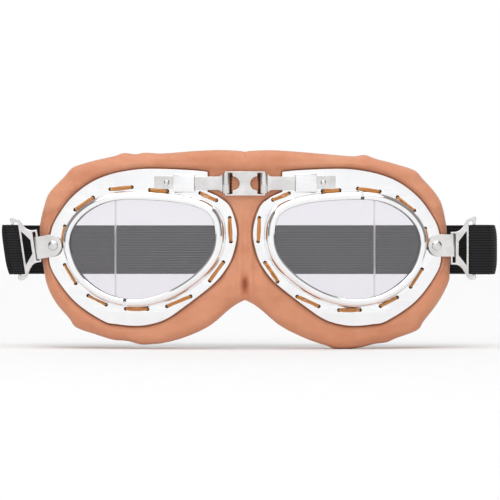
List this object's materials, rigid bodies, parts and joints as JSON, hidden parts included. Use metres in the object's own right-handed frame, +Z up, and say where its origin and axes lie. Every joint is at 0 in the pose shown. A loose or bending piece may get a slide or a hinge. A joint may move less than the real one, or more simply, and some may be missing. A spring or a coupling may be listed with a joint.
{
  "type": "motorcycle goggles",
  "caption": "Riding goggles with chromed eyepieces folding on a bridge plate, laced leather mask, foam pads, side buckles and an elastic head strap.",
  "frame": {"origin": "centre of the bridge plate's front face", "axes": "+X to the right as seen from the front, +Y from the front towards the wearer, +Z up"},
  "size_m": [0.2495, 0.0611, 0.0992],
  "materials": {
    "chrome": "polished",
    "leather": "matte fine grain",
    "foam": "open cell",
    "lining": "brushed",
    "lens": "clear, faint cool tint",
    "rubber": "satin",
    "thread": "waxed twist",
    "elastic": "ribbed weave",
    "plastic": "satin moulded"
  },
  "bodies": {
    "bridge": {"link_plate": "chrome", "nose_gusset": "leather"},
    "left_eyepiece": {"left_flange": "chrome", "left_bezel": "chrome", "left_lens": "lens", "left_lens_gasket": "rubber", "left_bridge_arm": "chrome", "left_arm_rivet": "chrome", "left_tab_rivet": "chrome", "left_lacing": "thread", "left_mask_cover": "leather", "left_foam_pad": "foam", "left_face_lining": "lining"},
    "left_tab": {"left_side_tab": "chrome"},
    "left_hanger": {"left_buckle": "chrome"},
    "left_band": {"left_strap": "elastic"},
    "right_eyepiece": {"right_flange": "chrome", "right_bezel": "chrome", "right_lens": "lens", "right_lens_gasket": "rubber", "right_bridge_arm": "chrome", "right_arm_rivet": "chrome", "right_tab_rivet": "chrome", "right_lacing": "thread", "right_mask_cover": "leather", "right_foam_pad": "foam", "right_face_lining": "lining"},
    "right_tab": {"right_side_tab": "chrome"},
    "right_hanger": {"right_buckle": "chrome"},
    "right_band": {"right_strap": "elastic"},
    "adjuster": {"strap_adjuster": "plastic"}
  },
  "joints": [
    {"name": "bridge_hinge_right", "type": "hinge", "parent": "bridge", "child": "right_eyepiece", "pos_m": [0.0094, 0.0006, 0], "axis": [0, 0, 1], "range_deg": [-5, 20]},
    {"name": "bridge_hinge_left", "type": "hinge", "parent": "bridge", "child": "left_eyepiece", "pos_m": [-0.0094, 0.0006, 0], "axis": [0, 0, -1], "range_deg": [-5, 20]},
    {"name": "tab_swivel_right", "type": "hinge", "parent": "right_eyepiece", "child": "right_tab", "pos_m": [0.09616, 0.01904, -0.0307], "axis": [-0.2079, 0.9781, 0], "range_deg": [-10, 10]},
    {"name": "tab_swivel_left", "type": "hinge", "parent": "left_eyepiece", "child": "left_tab", "pos_m": [-0.09616, 0.01904, -0.0307], "axis": [-0.2079, -0.9781, 0], "range_deg": [-18, 2]},
    {"name": "buckle_hinge_right", "type": "hinge", "parent": "right_tab", "child": "right_hanger", "pos_m": [0.10393, 0.02146, -0.0307], "axis": [0, 0, -1], "range_deg": [-5, 20]},
    {"name": "buckle_hinge_left", "type": "hinge", "parent": "left_tab", "child": "left_hanger", "pos_m": [-0.10384, 0.02144, -0.0319], "axis": [-0.1446, 0.0307, 0.989], "range_deg": [-5, 20]},
    {"name": "strap_turn_right", "type": "hinge", "parent": "right_hanger", "child": "right_band", "pos_m": [0.11542, 0.0239, -0.0326], "axis": [0, 0, 1], "range_deg": [0, 4]},
    {"name": "strap_turn_left", "type": "hinge", "parent": "left_hanger", "child": "left_band", "pos_m": [-0.11517, 0.02385, -0.0339], "axis": [-0.1446, 0.0307, 0.989], "range_deg": [0, 4]},
    {"name": "adjuster_slide", "type": "slide", "parent": "left_band", "child": "adjuster", "axis": [-1, 0, 0], "range_m": [0, 0.04]}
  ],
  "couplings": [
    {"joint": "bridge_hinge_left", "follows": "bridge_hinge_right", "ratio": 1},
    {"joint": "buckle_hinge_right", "follows": "bridge_hinge_right", "ratio": 1},
    {"joint": "buckle_hinge_left", "follows": "bridge_hinge_right", "ratio": 1}
  ]
}
